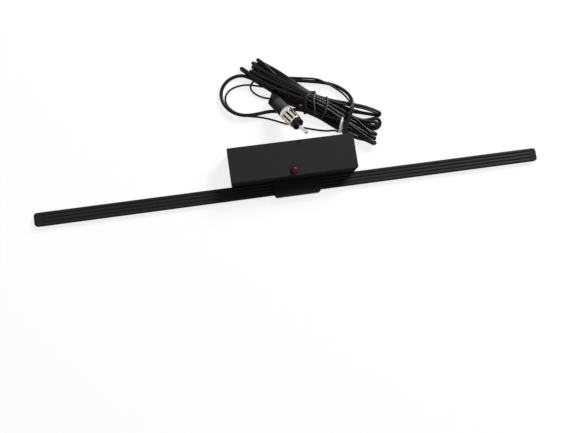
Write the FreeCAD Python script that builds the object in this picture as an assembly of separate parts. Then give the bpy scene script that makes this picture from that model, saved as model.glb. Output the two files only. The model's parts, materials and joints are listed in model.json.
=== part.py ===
"""Hidden car radio antenna: amplifier box, ribbed element strip, tied cable hank and antenna plug.

Millimetres. The antenna lies flat with its face up. The origin is the centre of the box's foam pad
on the surface it lies on, X runs along the strip, Y away from the strip towards the cables, Z up.
"""

import FreeCAD, Part
import math
import os

V = FreeCAD.Vector

# Foam tape under the box and under the strip
tape_thickness = 1.0
case_pad_length = 64.0
case_pad_width = 11.0
strip_tape_width = 6.4
strip_tape_end_margin = 7.0
strip_tape_hood_margin = 2.5

# Amplifier box
case_length = 84.0
case_width = 23.5
case_height = 14.0
case_wall = 1.2
case_face = 1.4
case_corner_radius = 0.9
case_edge_radius = 0.5
base_thickness = 1.6
base_clearance = 0.15
boss_inset = 3.6
boss_diameter = 5.0
joint_clearance = 0.05

# Screws that hold the back plate
screw_diameter = 2.2
screw_head_diameter = 4.2
screw_head_height = 1.2
screw_length = 9.0
screw_clearance = 0.1
screw_tip_gap = 0.6
screw_recess_length = 2.8
screw_recess_width = 0.5
screw_recess_depth = 0.7

# Element strip
strip_length = 340.0
strip_width = 9.1
strip_base = 1.6
strip_ribs = 4
rib_height = 0.45
strip_tip_length = 5.0
strip_tip_radius = 2.2
strip_tip_edge = 0.4
strip_case_gap = 0.1
conductor_width = 5.0
conductor_thickness = 0.3
conductor_lift = 0.6
conductor_setback = 8.0
conductor_clearance = 0.05

# Sleeve round the middle of the strip: a hood on the cover, a tongue on the back plate
hood_length = 31.0
hood_x = 1.2
hood_wall = 1.6
hood_roof = 1.6
hood_corner_radius = 2.0
hood_edge_radius = 0.5
strip_clearance = 0.25
tongue_lift = 0.1
tongue_root = 4.0
tongue_side_margin = 1.2

# Circuit board and its supports
board_thickness = 1.2
board_edge_gap = 0.7
board_lip_gap = 0.1
post_height = 2.0
post_diameter = 3.0
post_inset_x = 18.8
post_inset_y = 4.05
pin_diameter = 2.6
pin_clearance = 0.1
notch_clearance = 0.3
lead_wire = 0.5
lead_hole = 0.8
lead_tail_below = 0.8

# Indicator light
led_diameter = 5.0
led_flange_diameter = 5.8
led_flange_height = 1.0
led_height = 8.6
led_protrusion = 2.4
led_wall_gap = 0.15
led_leg_spacing = 2.54
led_hole_clearance = 0.1

# Feed contact from the board to the strip
feed_x = 7.0
feed_leg_y = -3.5
feed_width = 3.0
feed_thickness = 0.4
feed_leg_width = 1.6
feed_prong_diameter = 1.0
feed_clearance = 0.1

# Electrolytic capacitor
electrolytic_place = (28.0, -3.5)
electrolytic_diameter = 5.0
electrolytic_height = 7.0
electrolytic_groove = 0.25
electrolytic_groove_height = 1.2
electrolytic_pitch = 2.0

# Transistors
transistor_places = ((-6.0, 5.0), (13.0, 4.0))
transistor_diameter = 4.6
transistor_height = 4.6
transistor_flat = 1.4
transistor_standoff = 2.2
transistor_pitch = 1.27

# Ceramic capacitors
ceramic_places = ((-13.0, -4.0), (-13.0, 5.0), (1.0, 5.0), (20.0, 1.0))
ceramic_diameter = 4.5
ceramic_thickness = 2.0
ceramic_edge = 0.6
ceramic_standoff = 0.8
ceramic_pitch = 2.5

# Resistors
resistor_places = ((-28.0, 6.0), (-28.0, 2.0), (-28.0, -2.0), (-28.0, -6.0))
resistor_body_diameter = 1.7
resistor_cap_diameter = 2.1
resistor_length = 4.4
resistor_cap_length = 1.1
resistor_pitch = 7.0

# Choke
choke_place = (-4.0, -1.0)
choke_core_diameter = 3.0
choke_core_length = 9.0
choke_wire = 0.5
choke_turns = 11
choke_leg_inset = 0.35

# Cables and their exit
coax_diameter = 2.4
lead_diameter = 1.3
exit_inset = 3.9
lead_exit_step = 1.6
lead_exit_rise = 1.9
grommet_width = 4.4
grommet_height = 4.9
grommet_corner_radius = 1.0
grommet_flange = 0.9
grommet_flange_margin = 0.6
grommet_lip = 0.7
grommet_lip_margin = 0.4
exit_straight = 3.0
cable_clearance = 0.05
tail_boss_gap = 1.0
tail_core_length = 2.0
coax_dielectric_diameter = 1.5
coax_dielectric_length = 0.8

# Antenna plug, from the boot's rear end to the pin's tip
plug_rear = (-5.5, 42.3)
plug_heading = -59.6
plug_tilt = 24.0
plug_floor_gap = 0.1
plug_cable_straight = 3.4
boot_length = 12.5
boot_rear_radius = 4.2
boot_front_radius = 4.6
boot_flange_length = 1.9
boot_groove_width = 0.4
boot_groove_depth = 0.6
boot_rear_round = 0.7
boot_front_round = 0.8
boot_cable_depth = 6.0
collar_radius = 4.75
collar_length = 2.4
barrel_length = 8.6
barrel_neck_radius = 4.3
barrel_belly_radius = 4.75
barrel_mouth_radius = 4.25
barrel_wall = 0.55
barrel_slots = 10
barrel_slot_width = 1.4
barrel_slot_margin = 0.8
barrel_slot_turn = 22.5
spigot_radius = 3.5
spigot_length = 3.0
spigot_bore_radius = 1.5
insulator_radius = 4.0
insulator_stem_radius = 3.1
insulator_length = 3.4
insulator_seat = 1.0
insulator_chamfer = 0.4
pin_radius = 1.1
pin_stem_radius = 0.8
pin_length = 8.5
pin_tip_chamfer = 0.3
pin_bore_radius = 0.6
pin_bore_depth = 4.0
plug_fit = 0.05

# Hank: stations along it as (distance, low side, high side, lift, height)
hank_centre = (21.0, 37.5)
hank_heading = -34.2
hank_sections = (
    (-53.0, -2.2, 9.5, 0.0, 4.0),
    (-43.0, -4.0, 11.2, 0.0, 6.2),
    (-30.0, -5.0, 10.0, 0.2, 8.0),
    (-16.0, -7.2, 7.2, 0.7, 8.6),
    (-3.0, -8.2, 7.2, 0.9, 8.6),
    (8.0, -6.8, 8.6, 0.9, 7.6),
    (20.0, -7.8, 12.8, 0.2, 6.0),
    (33.0, -8.4, 16.0, 0.0, 5.4),
    (44.0, -8.4, 15.0, 0.0, 5.0),
    (49.5, -7.4, 11.0, 0.0, 4.0),
)

# Ties round the hank: places along it, band thickness and widths
twist_tie_place = -3.6
wire_tie_places = (1.8, 7.6)
tie_thickness = 0.8
twist_tie_width = 2.0
wire_tie_width = 0.9
twist_end_length = 4.0
twist_end_radius = 0.9
twist_end_direction = (0.5, 1.0, 0.0)

# Crimp terminal on the power lead
terminal_base = (35.9, 16.0, 2.2)
terminal_tip = (38.35, 25.1, 7.8)
terminal_barrel_radius = 1.1
terminal_barrel_length = 8.2
terminal_tip_radius = 0.4
terminal_bore_radius = 0.7
terminal_bore_depth = 2.5
terminal_lead_straight = 1.7

# Share of the shorter run that a cable's bend takes up
bend_share = 0.45

# Routes of the loose cable stretches, chosen along the curves that they lie in
coax_box_route = [
    (39.2, 19.9, 7.4),
    (42.2, 26.0, 7.8),
    (46.6, 34.0, 6.8),
    (46.0, 41.8, 3.0),
    (39.0, 48.6, 1.4),
    (29.3, 53.8, 1.4),
    (18.1, 56.7, 1.6),
    (7.5, 58.5, 1.8),
    (-1.0, 61.8, 1.8),
]
coax_loop_route = [
    (-11.0, 56.5, 2.5),
    (-18.5, 62.0, 1.7),
    (-25.5, 65.0, 1.3),
    (-34.0, 62.6, 1.3),
    (-40.3, 55.9, 1.3),
    (-41.2, 47.3, 1.6),
    (-36.5, 39.4, 2.7),
    (-28.1, 35.1, 2.75),
    (-18.5, 35.2, 2.7),
    (-9.5, 35.7, 1.5),
    (-1.2, 34.2, 1.3),
    (7.0, 36.2, 1.6),
]
coax_plug_route = [
    (-7.6, 47.3, 2.6),
    (-5.9, 50.5, 2.4),
    (-2.6, 53.0, 2.6),
]
lead_box_route = [
    (37.5, 19.9, 8.9),
    (40.0, 26.4, 8.3),
    (43.6, 33.7, 6.6),
    (43.0, 40.4, 2.6),
    (37.4, 46.4, 0.9),
    (28.4, 51.7, 0.9),
    (17.8, 54.6, 1.4),
    (7.5, 56.2, 4.2),
    (-1.0, 58.4, 6.2),
]
lead_loop_route = [
    (-11.0, 58.0, 2.0),
    (-15.5, 59.6, 1.4),
    (-19.2, 58.0, 1.0),
    (-20.4, 54.2, 0.8),
    (-17.8, 50.2, 0.8),
    (-13.0, 47.4, 0.8),
    (-8.0, 46.2, 0.8),
    (-3.0, 47.0, 1.0),
    (1.0, 49.0, 1.6),
]
lead_end_route = [
    (-9.0, 53.4, 2.3),
    (-14.5, 54.8, 2.3),
    (-20.5, 56.6, 2.4),
    (-27.5, 57.6, 1.2),
    (-34.0, 55.6, 0.7),
    (-37.9, 50.2, 0.7),
    (-37.0, 43.9, 0.7),
    (-32.4, 38.6, 0.7),
    (-25.0, 35.3, 0.7),
    (-17.0, 34.0, 0.7),
    (-8.5, 31.0, 0.7),
    (0.5, 26.8, 0.7),
    (11.0, 23.1, 0.7),
    (20.0, 20.3, 0.7),
    (27.2, 18.6, 0.7),
    (32.2, 16.7, 0.8),
]

# Heights and edges that several pieces share
rim_z = tape_thickness
face_z = rim_z + case_height
ceiling_z = face_z - case_face
base_top_z = rim_z + base_thickness
board_bottom_z = base_top_z + post_height
board_top_z = board_bottom_z + board_thickness
front_y = -case_width / 2
rear_y = case_width / 2
inner_half_length = case_length / 2 - case_wall
inner_half_width = case_width / 2 - case_wall
strip_back_y = front_y - strip_case_gap
strip_centre_y = strip_back_y - strip_width / 2
strip_front_y = strip_back_y - strip_width
strip_bottom_z = tape_thickness
strip_top_z = strip_bottom_z + strip_base + rib_height
hood_ceiling_z = strip_top_z + strip_clearance
hood_front_y = strip_front_y - strip_clearance - hood_wall
led_y = front_y + case_wall + led_wall_gap + led_diameter / 2
led_seat_z = face_z + led_protrusion - led_height
coax_exit_x = case_length / 2 - exit_inset
lead_exit_x = coax_exit_x - lead_exit_step
coax_exit_z = board_top_z + coax_diameter / 2
lead_exit_z = coax_exit_z + lead_exit_rise
grommet_x = (lead_exit_x - lead_diameter / 2 + coax_exit_x + coax_diameter / 2) / 2
grommet_z = (board_top_z + lead_exit_z + lead_diameter / 2) / 2
cable_start_y = rear_y + grommet_flange
boss_x = inner_half_length - boss_inset
boss_places = ((-boss_x, 0.0), (boss_x, 0.0))
post_x = inner_half_length - post_inset_x
post_y = inner_half_width - post_inset_y
post_places = [(sx * post_x, sy * post_y) for sx in (-1, 1) for sy in (-1, 1)]
tail_core_y = boss_diameter / 2 + tail_boss_gap
tail_bare_y = tail_core_y + tail_core_length
tail_jacket_y = tail_bare_y + coax_dielectric_length


# Basic shapes

def block(x0, x1, y0, y1, z0, z1):
    """A box between two corners."""
    return Part.makeBox(x1 - x0, y1 - y0, z1 - z0, V(x0, y0, z0))


def rod(x, y, z0, z1, diameter):
    """An upright cylinder."""
    return Part.makeCylinder(diameter / 2, z1 - z0, V(x, y, z0))


def rod_x(y, z, x0, x1, diameter):
    """A cylinder along X."""
    return Part.makeCylinder(diameter / 2, x1 - x0, V(x0, y, z), V(1, 0, 0))


def rod_y(x, z, y0, y1, diameter):
    """A cylinder along Y."""
    return Part.makeCylinder(diameter / 2, y1 - y0, V(x, y0, z), V(0, 1, 0))


def rounded_plate(x0, x1, y0, y1, z0, z1, radius, edge=0.0):
    """A box with round upright corners, and a round top edge where edge is given."""
    solid = block(x0, x1, y0, y1, z0, z1)
    upright = [e for e in solid.Edges if abs(e.BoundBox.ZLength - (z1 - z0)) < 1e-6]
    solid = solid.makeFillet(radius, upright)
    if edge:
        top = [e for e in solid.Edges if abs(e.BoundBox.ZMin - z1) < 1e-6]
        solid = solid.makeFillet(edge, top)
    return solid


def turned(edges):
    """A solid turned about Z from the edges of its half section in the XZ plane."""
    return Part.Face(Part.Wire(edges)).revolve(V(0, 0, 0), V(0, 0, 1), 360)


def half_section(points):
    """Edges of a closed half section from (radius, height) corners."""
    return Part.makePolygon([V(r, 0, h) for r, h in points + points[:1]]).Edges


# Amplifier box

def make_case_cover():
    """Five-sided shell with screw bosses, hold-down pins and the hood over the strip."""
    half = case_length / 2
    shell = rounded_plate(-half, half, front_y, rear_y, rim_z, face_z, case_corner_radius, case_edge_radius)
    shell = shell.cut(block(-inner_half_length, inner_half_length, -inner_half_width, inner_half_width,
                            rim_z, ceiling_z))
    shell = shell.fuse(make_hood())
    for x, y in boss_places:
        boss = rod(x, y, base_top_z + joint_clearance, ceiling_z + case_face / 2, boss_diameter)
        pilot = rod(x, y, base_top_z, rim_z + screw_length + screw_tip_gap, screw_diameter + screw_clearance)
        shell = shell.fuse(boss).cut(pilot)
    for x, y in post_places:
        shell = shell.fuse(rod(x, y, board_top_z + pin_clearance, ceiling_z + case_face / 2, pin_diameter))
    shell = shell.cut(rod(0, led_y, ceiling_z, face_z, led_diameter + 2 * led_hole_clearance))
    shell = shell.cut(grommet_block(inner_half_width, rear_y, 0.0))
    slot = feed_width / 2 + feed_clearance
    shell = shell.cut(block(feed_x - slot, feed_x + slot, strip_centre_y - slot, -inner_half_width,
                            hood_ceiling_z, hood_ceiling_z + feed_thickness + feed_clearance))
    return shell.removeSplitter()


def make_hood():
    """Roof and front wall of the sleeve, moulded on the cover's front wall."""
    left = hood_x - hood_length / 2
    right = hood_x + hood_length / 2
    hidden = front_y + case_wall / 2
    hood = rounded_plate(left, right, hood_front_y, hidden + 2 * hood_corner_radius, tongue_lift,
                         hood_ceiling_z + hood_roof, hood_corner_radius, hood_edge_radius)
    hood = hood.cut(block(left, right, hidden, rear_y, tongue_lift, face_z))
    hood = hood.cut(block(left, right, hood_front_y + hood_wall, front_y, tongue_lift, hood_ceiling_z))
    return hood.cut(block(left, right, front_y, rear_y, tongue_lift, rim_z))


def make_case_base():
    """Back plate inside the cover's rim, with board posts and the tongue under the strip."""
    half_x = inner_half_length - base_clearance
    half_y = inner_half_width - base_clearance
    tongue_left = hood_x - hood_length / 2 + tongue_side_margin
    tongue_right = hood_x + hood_length / 2 - tongue_side_margin
    tongue_front = hood_front_y + hood_wall + joint_clearance
    tongue_back = -inner_half_width + tongue_root
    plate = block(-half_x, half_x, -half_y, half_y, rim_z, base_top_z)
    plate = plate.fuse(block(tongue_left, tongue_right, -half_y, tongue_back, tongue_lift, rim_z))
    plate = plate.fuse(block(tongue_left, tongue_right, tongue_front, -half_y,
                             tongue_lift, rim_z - joint_clearance))
    for x, y in post_places:
        plate = plate.fuse(rod(x, y, rim_z, board_bottom_z, post_diameter))
    for x, y in boss_places:
        hole = screw_diameter / 2 + screw_clearance
        sink = screw_head_diameter / 2 + screw_clearance
        plate = plate.cut(rod(x, y, rim_z, base_top_z, 2 * hole))
        plate = plate.cut(Part.makeCone(sink, hole, screw_head_height, V(x, y, rim_z)))
    return plate.removeSplitter()


def make_case_screws():
    """Countersunk self-tapping screws with cross recesses, driven in from below."""
    screws = []
    arm = screw_recess_length / 2
    half = screw_recess_width / 2
    top = rim_z + screw_recess_depth
    for x, y in boss_places:
        screw = Part.makeCone(screw_head_diameter / 2, screw_diameter / 2, screw_head_height, V(x, y, rim_z))
        screw = screw.fuse(rod(x, y, rim_z + screw_head_height, rim_z + screw_length, screw_diameter))
        screw = screw.cut(block(x - arm, x + arm, y - half, y + half, rim_z, top))
        screw = screw.cut(block(x - half, x + half, y - arm, y + arm, rim_z, top))
        screws.append(screw.removeSplitter())
    return Part.makeCompound(screws)


def make_case_pad():
    """Foam pad that fixes the box to the glass."""
    half_x = case_pad_length / 2
    half_y = case_pad_width / 2
    return block(-half_x, half_x, -half_y, half_y, 0, tape_thickness)


# Cable bush in the rear wall

def grommet_block(y0, y1, margin):
    """A block along Y with round corners, grown by margin on its four long sides."""
    half_w = grommet_width / 2 + margin
    half_h = grommet_height / 2 + margin
    body = block(grommet_x - half_w, grommet_x + half_w, y0, y1, grommet_z - half_h, grommet_z + half_h)
    along = [e for e in body.Edges if abs(e.BoundBox.YLength - (y1 - y0)) < 1e-6]
    return body.makeFillet(grommet_corner_radius + margin, along)


def make_cable_grommet():
    """Rubber bush with a flange outside and a lip inside the wall, and a bore for each cable."""
    bush = grommet_block(inner_half_width, rear_y, 0.0)
    bush = bush.fuse(grommet_block(rear_y, rear_y + grommet_flange, grommet_flange_margin))
    bush = bush.fuse(grommet_block(inner_half_width - grommet_lip, inner_half_width, grommet_lip_margin))
    exits = ((coax_exit_x, coax_exit_z, coax_diameter), (lead_exit_x, lead_exit_z, lead_diameter))
    for x, z, diameter in exits:
        bush = bush.cut(rod_y(x, z, 0, cable_start_y, diameter + 2 * cable_clearance))
    return bush.removeSplitter()


def make_coax_tail():
    """End of the coaxial cable in the box: jacket, bared insulation and core down into the board."""
    tail = rod_y(coax_exit_x, coax_exit_z, tail_jacket_y, cable_start_y, coax_diameter)
    tail = tail.fuse(rod_y(coax_exit_x, coax_exit_z, tail_bare_y, tail_jacket_y, coax_dielectric_diameter))
    tail = tail.fuse(rod_y(coax_exit_x, coax_exit_z, tail_core_y, tail_bare_y, lead_wire))
    tail = tail.fuse(board_leg(coax_exit_x, tail_core_y, coax_exit_z + lead_wire / 2))
    return tail.removeSplitter()


def make_lead_tail():
    """End of the power lead in the box: sleeve and core down into the board."""
    tail = rod_y(lead_exit_x, lead_exit_z, tail_bare_y, cable_start_y, lead_diameter)
    tail = tail.fuse(rod_y(lead_exit_x, lead_exit_z, tail_core_y, tail_bare_y, lead_wire))
    tail = tail.fuse(board_leg(lead_exit_x, tail_core_y, lead_exit_z + lead_wire / 2))
    return tail.removeSplitter()


# Circuit board and the parts soldered in it

board_holes = []


def board_leg(x, y, top):
    """A wire leg from a height down through its hole in the board."""
    board_holes.append((x, y))
    return rod(x, y, board_bottom_z - lead_tail_below, top, lead_wire)


def make_indicator_led():
    """Round lens body with a flange whose flat side faces the front wall."""
    shoulder = led_seat_z + led_height - led_diameter / 2
    lens = rod(0, led_y, led_seat_z, shoulder, led_diameter)
    lens = lens.fuse(Part.makeSphere(led_diameter / 2, V(0, led_y, shoulder), V(0, 0, 1), 0, 90, 360))
    flange = rod(0, led_y, led_seat_z, led_seat_z + led_flange_height, led_flange_diameter)
    wide = led_flange_diameter
    flange = flange.cut(block(-wide, wide, led_y - wide, led_y - led_diameter / 2,
                              led_seat_z, led_seat_z + led_flange_height))
    return lens.fuse(flange).removeSplitter()


def make_led_legs():
    """Two wire legs between the light and the board."""
    return Part.makeCompound([board_leg(side * led_leg_spacing / 2, led_y, led_seat_z) for side in (-1, 1)])


def make_electrolytic():
    """Upright can with the crimp groove near its foot."""
    x, y = electrolytic_place
    r = electrolytic_diameter / 2
    h = electrolytic_height
    g = electrolytic_groove
    middle = electrolytic_groove_height
    can = turned(half_section([(0, 0), (r - g, 0), (r, g), (r, middle - g), (r - g, middle), (r, middle + g),
                               (r, h - g), (r - g, h), (0, h)]))
    can.translate(V(x, y, board_top_z))
    for side in (-1, 1):
        can = can.fuse(board_leg(x + side * electrolytic_pitch / 2, y, board_top_z))
    return can


def make_transistors():
    """Two small D-shaped transistors on three legs each."""
    solids = []
    for x, y in transistor_places:
        z = board_top_z + transistor_standoff
        r = transistor_diameter / 2
        body = rod(x, y, z, z + transistor_height, transistor_diameter)
        body = body.cut(block(x - r, x + r, y - r, y - transistor_flat, z, z + transistor_height))
        for step in (-1, 0, 1):
            body = body.fuse(board_leg(x + step * transistor_pitch, y, z))
        solids.append(body)
    return Part.makeCompound(solids)


def make_ceramic_capacitors():
    """Dipped discs that stand on two legs each."""
    solids = []
    for x, y in ceramic_places:
        z = board_top_z + ceramic_standoff + ceramic_diameter / 2
        half = ceramic_thickness / 2
        disc = rod_y(x, z, y - half, y + half, ceramic_diameter)
        rims = [e for e in disc.Edges if abs(e.BoundBox.YLength) < 1e-6]
        disc = disc.makeChamfer(ceramic_edge, rims)
        for side in (-1, 1):
            disc = disc.fuse(board_leg(x + side * ceramic_pitch / 2, y, z))
        solids.append(disc)
    return Part.makeCompound(solids)


def make_resistors():
    """Lying resistors with swollen ends and wires bent down into the board."""
    solids = []
    for x, y in resistor_places:
        z = board_top_z + resistor_cap_diameter / 2
        half = resistor_length / 2
        body = rod_x(y, z, x - half, x + half, resistor_body_diameter)
        body = body.fuse(rod_x(y, z, x - resistor_pitch / 2, x + resistor_pitch / 2, lead_wire))
        for side in (-1, 1):
            inner = x + side * (half - resistor_cap_length)
            outer = x + side * half
            body = body.fuse(rod_x(y, z, min(inner, outer), max(inner, outer), resistor_cap_diameter))
            body = body.fuse(board_leg(x + side * resistor_pitch / 2, y, z + lead_wire / 2))
        solids.append(body.removeSplitter())
    return Part.makeCompound(solids)


def choke_axis_z():
    """Height of the choke, lying on its winding."""
    return board_top_z + choke_core_diameter / 2 + choke_wire


def make_choke_core():
    """Plain ferrite rod."""
    x, y = choke_place
    return rod_x(y, choke_axis_z(), x - choke_core_length / 2, x + choke_core_length / 2, choke_core_diameter)


def make_choke_winding():
    """Close turns of wire round the ferrite rod, with a leg at each end."""
    x, y = choke_place
    inner = choke_core_diameter / 2
    start = -choke_turns * choke_wire / 2
    corners = [(inner, start)]
    for turn in range(choke_turns):
        groove = start + turn * choke_wire
        corners += [(inner + choke_wire / 2, groove), (inner + choke_wire, groove + choke_wire / 2)]
    corners += [(inner + choke_wire / 2, -start), (inner, -start)]
    winding = turned(half_section(corners))
    winding.rotate(V(0, 0, 0), V(0, 1, 0), 90)
    winding.translate(V(x, y, choke_axis_z()))
    for side in (-1, 1):
        leg_x = x + side * (-start - choke_leg_inset)
        winding = winding.fuse(board_leg(leg_x, y, choke_axis_z() - inner - choke_wire / 4))
    return winding


def make_feed_contact():
    """Brass blade through the front wall: a leg up into the board, a prong down to the conductor."""
    half = feed_width / 2
    leg = feed_leg_width / 2
    z0 = hood_ceiling_z
    z1 = z0 + feed_thickness
    blade = block(feed_x - half, feed_x + half, strip_centre_y - half, feed_leg_y, z0, z1)
    blade = blade.fuse(block(feed_x - leg, feed_x + leg, feed_leg_y - feed_thickness, feed_leg_y,
                             z0, board_top_z + lead_tail_below))
    blade = blade.fuse(rod(feed_x, strip_centre_y, conductor_top_z(), z0, feed_prong_diameter))
    return blade.removeSplitter()


def make_circuit_board():
    """Board notched round the bosses, with holes for every leg and a slot for the feed contact."""
    half_x = inner_half_length - board_edge_gap
    front = -inner_half_width + board_edge_gap
    rear = inner_half_width - grommet_lip - board_lip_gap
    board = block(-half_x, half_x, front, rear, board_bottom_z, board_top_z)
    for x, y in boss_places:
        board = board.cut(rod(x, y, board_bottom_z, board_top_z, boss_diameter + 2 * notch_clearance))
    for x, y in board_holes:
        board = board.cut(rod(x, y, board_bottom_z, board_top_z, lead_hole))
    leg = feed_leg_width / 2 + feed_clearance
    board = board.cut(block(feed_x - leg, feed_x + leg, feed_leg_y - feed_thickness - feed_clearance,
                            feed_leg_y + feed_clearance, board_bottom_z, board_top_z))
    return max(board.Solids, key=lambda solid: solid.Volume)


# Element strip

def conductor_top_z():
    """Upper face of the conductor in the strip."""
    return strip_bottom_z + conductor_lift + conductor_thickness


def make_antenna_strip():
    """Ribbed flexible strip with plain rounded tips and the channel for its conductor."""
    half = strip_length / 2 - strip_tip_length
    pitch = strip_width / strip_ribs
    z0 = strip_bottom_z
    z1 = strip_bottom_z + strip_base
    corners = [V(-half, strip_back_y, z1), V(-half, strip_back_y, z0),
               V(-half, strip_front_y, z0), V(-half, strip_front_y, z1)]
    edges = [Part.LineSegment(p, q).toShape() for p, q in zip(corners, corners[1:])]
    for rib in range(strip_ribs):
        y = strip_front_y + rib * pitch
        edges.append(Part.Arc(V(-half, y, z1), V(-half, y + pitch / 2, z1 + rib_height),
                              V(-half, y + pitch, z1)).toShape())
    strip = Part.Face(Part.Wire(edges)).extrude(V(2 * half, 0, 0))
    tips = rounded_plate(-strip_length / 2, strip_length / 2, strip_front_y, strip_back_y,
                         z0, strip_top_z - rib_height / 2, strip_tip_radius, strip_tip_edge)
    tips = tips.cut(block(-half, half, strip_front_y, strip_back_y, z0, strip_top_z))
    strip = strip.fuse(tips)
    reach = strip_length / 2 - conductor_setback + conductor_clearance
    side = conductor_width / 2 + conductor_clearance
    floor = z0 + conductor_lift - conductor_clearance
    roof = conductor_top_z() + conductor_clearance
    strip = strip.cut(block(-reach, reach, strip_centre_y - side, strip_centre_y + side, floor, roof))
    strip = strip.cut(rod(feed_x, strip_centre_y, conductor_top_z(), strip_top_z,
                          feed_prong_diameter + 2 * feed_clearance))
    return strip.removeSplitter()


def make_strip_conductor():
    """Flat copper conductor along the inside of the strip."""
    reach = strip_length / 2 - conductor_setback
    side = conductor_width / 2
    return block(-reach, reach, strip_centre_y - side, strip_centre_y + side,
                 strip_bottom_z + conductor_lift, conductor_top_z())


def make_strip_tape(side):
    """Foam tape under one arm of the strip, from the hood to near the tip."""
    inner = hood_x + side * (hood_length / 2 + strip_tape_hood_margin)
    outer = side * (strip_length / 2 - strip_tape_end_margin)
    half = strip_tape_width / 2
    return block(min(inner, outer), max(inner, outer), strip_centre_y - half, strip_centre_y + half,
                 0, tape_thickness)


# Antenna plug, each piece turned about Z from the boot's rear end and then laid in place

def plug_placement():
    """Where the plug lies: its boot's rear flange near the surface, its nose up."""
    heading = math.radians(plug_heading)
    tilt = math.radians(plug_tilt)
    axis = V(math.cos(heading) * math.cos(tilt), math.sin(heading) * math.cos(tilt), math.sin(tilt))
    height = boot_rear_radius * math.cos(tilt) + boot_flange_length * math.sin(tilt) + plug_floor_gap
    return FreeCAD.Placement(V(plug_rear[0], plug_rear[1], height), FreeCAD.Rotation(V(0, 0, 1), axis))


def plug_point(distance):
    """A point on the plug's axis, from the boot's rear end towards the pin."""
    return plug_placement().multVec(V(0, 0, distance))


collar_front = boot_length + collar_length
barrel_front = collar_front + barrel_length
insulator_front = barrel_front + insulator_length
pin_tip = insulator_front + pin_length


def make_plug_boot():
    """Tapered moulded boot with a flange behind a groove, a cable bore and the socket for the shell."""
    boot = Part.makeCone(boot_rear_radius, boot_front_radius, boot_length)
    front = [e for e in boot.Edges if abs(e.BoundBox.ZMin - boot_length) < 1e-6]
    boot = boot.makeFillet(boot_front_round, front)
    rear_end = V(0, 0, -boot_flange_length)
    flange = Part.makeCylinder(boot_rear_radius, boot_flange_length - boot_groove_width, rear_end)
    rear = [e for e in flange.Edges if abs(e.BoundBox.ZMax + boot_flange_length) < 1e-6]
    flange = flange.makeFillet(boot_rear_round, rear)
    neck = Part.makeCylinder(boot_rear_radius - boot_groove_depth, boot_flange_length, rear_end)
    boot = boot.fuse(neck).fuse(flange).removeSplitter()
    boot = boot.cut(Part.makeCylinder(coax_diameter / 2 + cable_clearance, boot_flange_length + boot_length, rear_end))
    socket = Part.makeCylinder(spigot_radius + plug_fit, spigot_length + plug_fit,
                               V(0, 0, boot_length - spigot_length - plug_fit))
    return boot.cut(socket)


def barrel_arc(inset):
    """The barrel's bulged outline from the collar to the mouth, moved in by inset."""
    middle = (collar_front + barrel_front) / 2
    return Part.Arc(V(barrel_neck_radius - inset, 0, collar_front),
                    V(barrel_belly_radius - inset, 0, middle),
                    V(barrel_mouth_radius - inset, 0, barrel_front))


def make_plug_shell():
    """Collar, rear spigot and the bulged barrel with its ring of spring slots."""
    outer = barrel_arc(0.0)
    inner = barrel_arc(barrel_wall)
    edges = [outer.toShape(), Part.LineSegment(outer.EndPoint, inner.EndPoint).toShape(),
             inner.toShape(), Part.LineSegment(inner.StartPoint, outer.StartPoint).toShape()]
    barrel = turned(Part.__sortEdges__(edges))
    slot_start = collar_front + barrel_slot_margin
    slot = Part.makeBox(barrel_belly_radius, barrel_slot_width, barrel_length - 2 * barrel_slot_margin,
                        V(barrel_mouth_radius / 2, -barrel_slot_width / 2, slot_start))
    for index in range(barrel_slots):
        cutter = slot.copy()
        cutter.rotate(V(0, 0, 0), V(0, 0, 1), barrel_slot_turn + index * 360 / barrel_slots)
        barrel = barrel.cut(cutter)
    collar = turned(half_section([(spigot_bore_radius, boot_length - spigot_length),
                                  (spigot_radius, boot_length - spigot_length),
                                  (spigot_radius, boot_length), (collar_radius, boot_length),
                                  (collar_radius, collar_front), (spigot_bore_radius, collar_front)]))
    return collar.fuse(barrel).removeSplitter()


def make_plug_insulator():
    """Black insulator: stem inside the barrel, seat in its mouth and flange in front."""
    seat_radius = barrel_mouth_radius - barrel_wall - plug_fit
    bore = pin_stem_radius + plug_fit
    seat = barrel_front - insulator_seat
    chamfer = insulator_chamfer
    return turned(half_section([(bore, collar_front), (insulator_stem_radius, collar_front),
                                (insulator_stem_radius, seat), (seat_radius, seat),
                                (seat_radius, barrel_front), (insulator_radius, barrel_front),
                                (insulator_radius, insulator_front - chamfer),
                                (insulator_radius - chamfer, insulator_front), (bore, insulator_front)]))


def make_plug_pin():
    """Centre pin with an open solder tip, and its stem back to the cable's core."""
    chamfer = pin_tip_chamfer
    return turned(half_section([(0, boot_cable_depth), (pin_stem_radius, boot_cable_depth),
                                (pin_stem_radius, insulator_front), (pin_radius, insulator_front),
                                (pin_radius, pin_tip - chamfer), (pin_radius - chamfer, pin_tip),
                                (pin_bore_radius, pin_tip), (pin_bore_radius, pin_tip - pin_bore_depth),
                                (0, pin_tip - pin_bore_depth)]))


# Cables

def rounded_path(points):
    """Straight runs joined by tangent arcs, each arc as large as its two runs allow."""
    corners = [V(*p) for p in points]
    edges = []
    radii = []
    start = corners[0]
    for before, corner, after in zip(corners, corners[1:], corners[2:]):
        back = before - corner
        ahead = after - corner
        reach = bend_share * min(back.Length, ahead.Length)
        turn = math.pi - back.getAngle(ahead)
        radius = reach / math.tan(turn / 2)
        radii.append(radius)
        back.normalize()
        ahead.normalize()
        entry = corner + back * reach
        leave = corner + ahead * reach
        bisector = back + ahead
        bisector.normalize()
        centre = corner + bisector * math.hypot(radius, reach)
        middle = centre - bisector * radius
        edges.append(Part.LineSegment(start, entry).toShape())
        edges.append(Part.Arc(entry, middle, leave).toShape())
        start = leave
    edges.append(Part.LineSegment(start, corners[-1]).toShape())
    return Part.Wire(edges), radii


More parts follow.
